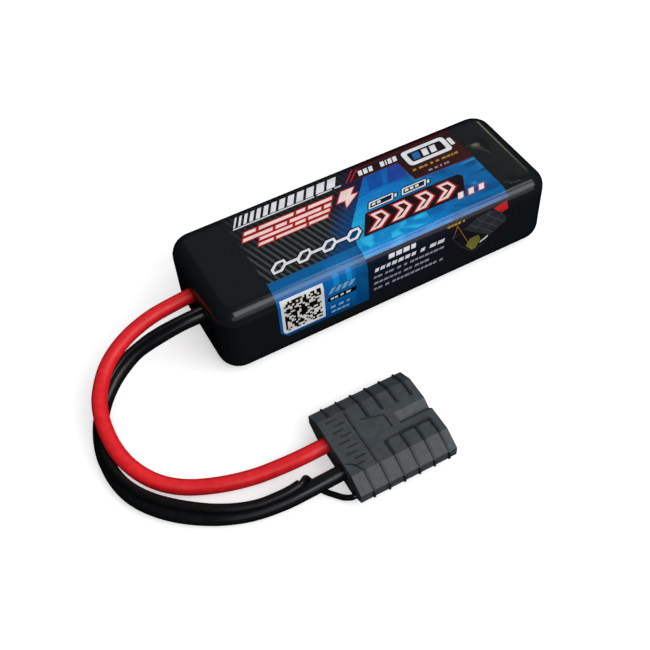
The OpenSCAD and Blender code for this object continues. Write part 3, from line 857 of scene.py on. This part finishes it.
def belt_profile(d):
    """How far in from the outline and how high the film is, d below the rim of the top."""
    if d <= TURN:
        angle = d / EDGE_R
        return EDGE_R * (1 - math.sin(angle)), TOP - EDGE_R * (1 - math.cos(angle))
    if d <= TURN + WALL:
        return 0.0, TOP - EDGE_R - (d - TURN)
    angle = (d - TURN - WALL) / EDGE_R
    return EDGE_R * (1 - math.cos(angle)), EDGE_R * (1 - math.sin(angle))


def long_point(x, s):
    """A place on the straight length of the film."""
    side = -1 if s > 0 else 1
    d = abs(s)
    if d <= FLAT:
        return Vector((x, side * d, TOP - crease_depth(x, s)))
    if d >= HALF_ROUND - FLAT:
        return Vector((x, side * (HALF_ROUND - d), 0))
    inset, z = belt_profile(d - FLAT)
    down = crease_depth(x, s)
    tilt = min(1, (d - FLAT) / TURN) * math.pi / 2
    return Vector((x, side * (HALF_W - inset - down * math.sin(tilt)), z - down * math.cos(tilt)))


def end_point(end, u, d):
    """A place on the film round one end: u runs from the front to the rear, d down from the rim."""
    inset, z = belt_profile(d)
    inset += pleats(u / CORNER_ARC, (2 * CORNER_ARC + END_FLAT - u) / CORNER_ARC, d)
    radius = CORNER_R - inset
    flat = min(max(u - CORNER_ARC, 0), END_FLAT)
    angle = (u - flat) / CORNER_R
    return Vector((end * (STRAIGHT + radius * math.sin(angle)),
                   flat - END_FLAT / 2 - radius * math.cos(angle), z))


def pleats(from_front, from_rear, d):
    """How far the film draws in where its slack is gathered round the corners, most at mid height."""
    deepest, frequency, shift = 0.12, 21, 2
    gathered = sum(math.sin(math.pi * t) ** 2 * (0.5 + 0.5 * math.sin(frequency * t + shift))
                   for t in (from_front, from_rear) if 0 < t < 1)
    return deepest * gathered * math.sin(math.pi * d / BELT) ** 2


def cut_sheet(stops_u, stops_v, prints, spots=()):
    """A flat sheet cut along its stops and its prints. Gives its points and (triangle, print) pairs."""
    points, tolerance = [Vector(spot) for spot in spots], 1e-5

    def add(loop):
        points.extend(Vector(p) for p in loop)
        return list(range(len(points) - len(loop), len(points)))

    edges = [tuple(add([(u, stops_v[0]), (u, stops_v[-1])])) for u in stops_u]
    edges += [tuple(add([(stops_u[0], v), (stops_u[-1], v)])) for v in stops_v]
    loops, owners = [], []
    for number, (_, outlines) in enumerate(prints):
        for shape in outlines:
            loops.append(add(shape if area(shape) > 0 else shape[::-1]))
            owners.append(number)
    flat, _, triangles, _, _, sources = delaunay_2d_cdt(points, edges, loops, 0, tolerance, True)
    tops = [max((owners[i] for i in source), default=-1) for source in sources]
    return flat, list(zip(triangles, tops))


class Film:
    """Collects the film's sheets into one welded mesh with its print coordinates."""

    def __init__(self):
        self.points, self.normals, self.faces, self.inks, self.places = [], [], [], [], []
        self.known = {}

    def vertex(self, point, normal):
        """The number of the vertex at a point. Sheets that meet there share it."""
        key = tuple(round(c, 3) for c in point)
        if key not in self.known:
            self.known[key] = len(self.points)
            self.points.append(point)
            self.normals.append(normal)
        return self.known[key]

    def add(self, flat, marked, where, label, ink_of):
        """Wraps a cut sheet: where(u, v) gives places in space and label(u, v) places on the print."""
        step = 0.02
        corners = []
        for u, v in flat:
            along = where(u + step, v) - where(u - step, v)
            round_it = where(u, v + step) - where(u, v - step)
            point, normal = where(u, v), along.cross(round_it).normalized()
            if normal.dot(point - Vector((point.x * 0.8, 0, TOP / 2))) < 0:
                normal = -normal
            corners.append(self.vertex(point, normal))
        for triangle, mark in marked:
            chosen = ink_of(mark)
            if chosen is None:
                continue
            face = [corners[i] for i in triangle]
            if len(set(face)) < 3:
                continue
            a, b, c = (self.points[i] for i in face)
            order = [0, 1, 2] if (b - a).cross(c - a).dot(self.normals[face[0]]) > 0 else [2, 1, 0]
            self.faces.append([face[i] for i in order])
            self.places.append([label(*flat[triangle[i]]) for i in order])
            self.inks.append(chosen)

    def cap(self, rim, normal, place):
        """One flat face of plain film inside a rim, facing up or down."""
        face = [self.vertex(point, normal) for point in rim]
        outline = [(self.points[i].x, self.points[i].y) for i in face]
        if (area(outline) > 0) != (normal.z > 0):
            face = face[::-1]
        self.faces.append(face)
        self.places.append([place] * len(face))
        self.inks.append(0)


def print_list():
    """The whole print, the lowest first: (ink, outlines)."""
    dice = random.Random(11)
    return (ground_prints() + back_prints() + panel_prints() + rear_prints(dice) + heading_prints()
            + side_prints(dice))


def film_palette(plain):
    """The paints of the film by name: the plain film, the grounds of the print and the inks."""
    palette = {"film": plain, "carbon": carbon_print(), "blue": blue_print(), "sky": sky_print(),
               "side_blue": side_blue_print(), "strip": strip_print(), "night": night_print()}
    palette.update({name: ink("ink_" + name, linear(*colour)) for name, colour in INKS.items()})
    return palette


def grommet_window():
    """The rounded window for the grommet, on the flat sheet that wraps round an end."""
    low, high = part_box("lead_grommet")

    def down(z):
        rise = z - TOP + EDGE_R
        return TURN - rise if rise < 0 else TURN - EDGE_R * math.asin(rise / EDGE_R)

    corners = [(low.y, low.z), (high.y, low.z), (high.y, high.z), (low.y, high.z)]
    window = [(CORNER_ARC + HALF_W - CORNER_R + y / MM, down(z / MM)) for y, z in corners]
    return rounded(window, 2.6, 6)


def wrap_length(film, inks):
    """The straight length of the film, cut along its print."""
    prints = print_list()
    creased = [(x, s) for along, across in CREASE_GRIDS for x in evenly(*along) for s in evenly(*across)]
    stops_x = evenly(-STRAIGHT, STRAIGHT, LONG_CELL)
    flat, marked = cut_sheet(stops_x, section_stops(), prints, creased)
    film.add(flat, marked, long_point, lambda u, v: (u, v),
             lambda mark: inks.index(prints[mark][0]) if mark >= 0 else 0)


def wrap_end(film, end, holes):
    """The film round one end: its belt with any holes, and the flat pieces above and below it."""
    corner = evenly(0, CORNER_ARC, CORNER_ARC / BENDS)
    stops_u = corner + evenly(CORNER_ARC, CORNER_ARC + END_FLAT, END_CELL)[1:]
    stops_u += [CORNER_ARC + END_FLAT + u for u in corner[1:]]
    flat, marked = cut_sheet(stops_u, belt_stops(), [("hole", holes)])
    film.add(flat, marked, lambda u, v: end_point(end, u, v), lambda u, v: (end * PLAIN_X, 0),
             lambda mark: 0 if mark < 0 else None)
    across = sorted(s for s in section_stops() if -FLAT < s < FLAT)
    for z, depth in ((TOP, 0.0), (0.0, BELT)):
        rim = [end_point(end, u, depth) for u in stops_u]
        rim += [Vector((end * STRAIGHT, -s if z else s, z)) for s in (across if z else across[::-1])]
        film.cap(rim, Vector((0, 0, 1 if z else -1)), (end * PLAIN_X, 0))


def make_film(plain):
    """The printed shrink film over the whole pack, with a window for the grommet."""
    palette = film_palette(plain)
    film = Film()
    wrap_length(film, list(palette))
    wrap_end(film, -1, [grommet_window()])
    wrap_end(film, 1, [])
    piece = link_mesh("printed_film", [p * MM for p in film.points], film.faces, palette.values())
    mesh = piece.data
    mesh.polygons.foreach_set("material_index", film.inks)
    layer = mesh.uv_layers.new(name="label")
    for polygon, places in zip(mesh.polygons, film.places):
        for loop, place in zip(polygon.loop_indices, places):
            layer.data[loop].uv = place
    mesh.shade_smooth()
    mesh.normals_split_custom_set_from_vertices(film.normals)
    make_lip(mesh)
    return piece


def make_lip(mesh):
    """Turns the film's edge inwards round the window, as a hem a little deeper than the film."""
    shape = bmesh.new()
    shape.from_mesh(mesh)
    rim = [edge for edge in shape.edges if edge.is_boundary]
    made = bmesh.ops.extrude_edge_only(shape, edges=rim)["geom"]
    inner = [part for part in made if isinstance(part, bmesh.types.BMVert)]
    bmesh.ops.translate(shape, vec=(LIP_DEPTH * MM, 0, 0), verts=inner)
    shape.to_mesh(mesh)
    shape.free()


# ---------------- the plug

EDGE_ROUND, JOINT_ROUND = 0.11, 0.22
LINE_W, LINE_LOW, LINE_HIGH, LINE_ROUND = 0.3, PLUG_TOP - 0.1, PLUG_TOP + 0.14, 0.06


def stands_proud(place):
    """Whether a place lies outside the plug's plain section, as its grip ribs do."""
    out, up = abs(place.y / MM - PLUG_Y), place.z / MM
    run, fall = PLUG_HALF_W - PLUG_FLAT, PLUG_TOP - PLUG_SHOULDER_Z
    over = ((out - PLUG_FLAT) * fall + (up - PLUG_TOP) * run) / math.hypot(run, fall)
    tolerance = 0.04
    return max(over, out - PLUG_HALF_W, up - PLUG_TOP) > tolerance


def round_edges(piece, width, segments):
    """Rounds a piece's edges and shades it smooth. Gives the modifier that does it."""
    bevel = piece.modifiers.new("soft_edges", "BEVEL")
    bevel.width = width * MM
    bevel.segments = segments
    bevel.harden_normals = True
    piece.data.shade_smooth()
    return bevel


def make_moulding(node, materials):
    """A copy of a CAD piece of the plug with its flat faces joined and its edges rounded.

    The edges at the joint with the other piece are rounded more, and the ribs take a darker paint, which
    is painted shade for the shade along their sides.
    """
    weld, flat, sharp = 0.002 * MM, math.radians(1), math.radians(24)
    mesh = nodes[node].data.copy()
    mesh.materials.clear()
    for material in materials:
        mesh.materials.append(material)
    if mesh.has_custom_normals:
        mesh.attributes.remove(mesh.attributes["custom_normal"])
    shape = bmesh.new()
    shape.from_mesh(mesh)
    bmesh.ops.remove_doubles(shape, verts=shape.verts, dist=weld)
    bmesh.ops.dissolve_limit(shape, angle_limit=flat, verts=shape.verts, edges=shape.edges)
    weight = shape.edges.layers.float.new("bevel_weight_edge")
    for edge in shape.edges:
        if len(edge.link_faces) == 2 and edge.calc_face_angle() > sharp:
            at_joint = all(abs(v.co.x / MM - CAP_JOINT_X) < 0.01 for v in edge.verts)
            edge[weight] = 1.0 if at_joint else EDGE_ROUND / JOINT_ROUND
    # The proud ribs take the darker second paint, which is painted shade for their shaded sides
    for face in shape.faces:
        face.material_index = 1 if stands_proud(face.calc_center_median()) else 0
    shape.to_mesh(mesh)
    shape.free()
    piece = bpy.data.objects.new(node.replace("plug", "moulded_plug"), mesh)
    bpy.context.scene.collection.objects.link(piece)
    round_edges(piece, JOINT_ROUND, 3).limit_method = "WEIGHT"
    return piece


def plug_lines():
    """Centre lines of the thin raised lines on top of the plug, in millimetres."""
    lines = [[(-29.3, -50.1), (-23.8, -51.7), (-23.7, -55.8)],
             [(-38.5, -59.2), (-37.6, -59.6), (-36.7, -60.6), (-35.8, -62.4)],
             [(-27.6, -59.2), (-26.2, -58.1), (-23.6, -58.1)],
             [(-31.85, -46.2), (-31.85, -62.2)]]
    for i in range(9):
        left, middle = -37.2 + 1.3 * (i % 2), -47 - 1.7 * i
        lines.append([(left, middle), (left + 2.9, middle)])
    return lines


def make_plug_lines(material):
    """The raised lines themselves: thin ridges set a little into the top of the plug."""
    points, faces = [], []
    for line in plug_lines():
        outline = stroke(line, LINE_W)
        if area(outline) < 0:
            outline = outline[::-1]
        first, count = len(points), len(outline)
        points += [Vector((x, y, z)) * MM for z in (LINE_LOW, LINE_HIGH) for x, y in outline]
        faces.append([first + count + i for i in range(count)])
        faces.append([first + i for i in reversed(range(count))])
        for i in range(count):
            after = (i + 1) % count
            faces.append([first + i, first + after, first + count + after, first + count + i])
    piece = link_mesh("raised_plug_lines", points, faces, [material])
    round_edges(piece, LINE_ROUND, 2)
    return piece


# ---------------- studio

def make_floor():
    """A white table, lit a little from inside so that shadows stay faint."""
    size = 3.0
    floor = link_mesh("floor", [(-size, -size, 0), (size, -size, 0), (size, size, 0), (-size, size, 0)],
                      [[0, 1, 2, 3]], [])
    paint = Paint("floor", (0.85, 0.85, 0.85), 0.9, Emission_Color=(1, 1, 1, 1), Emission_Strength=0.45)
    floor.data.materials.append(paint.material)
    floor.location.z = cad_box[0].z - 0.05 * MM
    floor.visible_glossy = False
    floor.visible_diffuse = False


# The lights, in metres: place, the point they face, size, radiance and colour
WHITE, WARM = (1, 1, 1), (1, 0.92, 0.65)
LIGHTS = {
    "front_softbox": ((0.4, -0.75, 0.77), (0.4, 0, 0.02), (1.3, 0.46), 3.4, WHITE),
    "upper_strip": ((0.62, -0.36, 1.0), (0.62, 0, 0.02), (0.75, 0.2), 3.0, WHITE),
    "front_fill": ((0.1, -1.3, 0.55), (0, 0, 0.02), (1.8, 0.6), 0.9, WHITE),
    "rear_panel": ((0.5, 0.8, 1.27), (0.5, 0, 0.02), (1.8, 1.5), 0.1, WHITE),
    "warm_strip": ((0.62, 0.6, 0.54), (0.04, 0, 0.02), (0.08, 0.16), 4.0, WARM),
}


def panel_light(name, place, target, size, radiance, colour):
    """A rectangular light of a given radiance, facing its target."""
    data = bpy.data.lights.new(name, "AREA")
    data.shape = "RECTANGLE"
    data.size, data.size_y = size
    data.energy = radiance * math.pi * size[0] * size[1]
    data.color = colour
    light = bpy.data.objects.new(name, data)
    bpy.context.scene.collection.objects.link(light)
    light.location = place
    light.rotation_euler = (Vector(target) - Vector(place)).to_track_quat("-Z", "Y").to_euler()


def make_world():
    """Even light from above, very little from below, and less from behind the leads' loop."""
    world = bpy.data.worlds.new("studio")
    bpy.context.scene.world = world
    world.use_nodes = True
    tree = world.node_tree
    way = tree.nodes.new("ShaderNodeSeparateXYZ")
    tree.links.new(tree.nodes.new("ShaderNodeTexCoord").outputs["Generated"], way.inputs[0])

    def graded(axis, *limits):
        made = tree.nodes.new("ShaderNodeMapRange")
        for socket, value in zip(("From Min", "From Max", "To Min", "To Max"), limits):
            made.inputs[socket].default_value = value
        tree.links.new(way.outputs[axis], made.inputs["Value"])
        return made.outputs["Result"]

    strength = tree.nodes.new("ShaderNodeMath")
    strength.operation = "MULTIPLY"
    tree.links.new(graded(2, -0.1, 0.1, 0.25, 0.66), strength.inputs[0])
    tree.links.new(graded(0, -0.8, 0.3, 0.4, 1.0), strength.inputs[1])
    background = tree.nodes["Background"]
    background.inputs["Color"].default_value = (1, 1, 1, 1)
    tree.links.new(strength.outputs[0], background.inputs["Strength"])
    world.cycles_visibility.glossy = False


def make_studio():
    """The table, the even light all round and the panels that the gloss reflects."""
    make_floor()
    make_world()
    for name, settings in LIGHTS.items():
        panel_light(name, *settings)
    bpy.context.scene.view_settings.view_transform = "Standard"


# ---------------- assembly

def ride_root(piece, slot, *stands_for):
    """Fixes a piece to the part's one body, in place of its CAD nodes."""
    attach(piece, "root")
    for node in stands_for:
        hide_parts(node)


def make_plug(materials):
    """The plug's two mouldings and the raised lines on them."""
    # A darker copy of the plug's plastic. It is painted shade for the ribs and raised lines, whose sides
    # lie in shade
    rib_painted_shade = moulded("plug_rib_painted_shade", linear(42, 47, 50), linear(34, 39, 42))
    pieces = []
    for node in ("plug_body", "plug_end_cap"):
        pieces.append(make_moulding(node, [materials["plug"], rib_painted_shade]))
        ride_root(pieces[-1], "plug", node)
    pieces.append(make_plug_lines(rib_painted_shade))
    ride_root(pieces[-1], "plug")
    return pieces


def make_leads(materials, plug_pieces):
    """The red and black leads, and the thin balance lead in its sleeve."""
    leads = [
        ("red_power_lead", "red_lead", "red_silicone", RED_ROUTE, LEAD_D, RED_LENGTH,
         ["positive_contact", "red_lead_core"]),
        ("black_power_lead", "black_lead", "black_silicone", BLACK_ROUTE, LEAD_D, BLACK_LENGTH,
         ["negative_contact", "black_lead_core"]),
        ("thin_balance_lead", "balance_lead", "black_silicone", BALANCE_ROUTE, BALANCE_D, BALANCE_LENGTH,
         ["balance_contact", "balance_lead_core", "shrunk_balance_sleeve"])]
    sleeve = make_sleeve("shrunk_balance_sleeve", BALANCE_ROUTE[SLEEVE_FIRST:SLEEVE_LAST + 1],
                         materials["sleeve"])
    ride_root(sleeve, "sleeve", "balance_sleeve")
    for name, node, slot, route, diameter, length, others in leads:
        lead = make_lead(name, route, diameter, materials[slot])
        ride_root(lead, slot, node)
        [c * MM for c in route[1]]


def main():
    """Dresses the CAD nodes and makes the finer pieces round them."""
    make_camera()
    materials = make_materials()
    for row in frame["record"]["subparts"]:
        node = nodes[row["node"]]
        node.data.materials.clear()
        node.data.materials.append(materials[row["material_slot"]])
    ride_root(make_film(materials["film"]), "film", "shrink_sleeve")
    make_leads(materials, make_plug(materials))
    make_studio()


main()
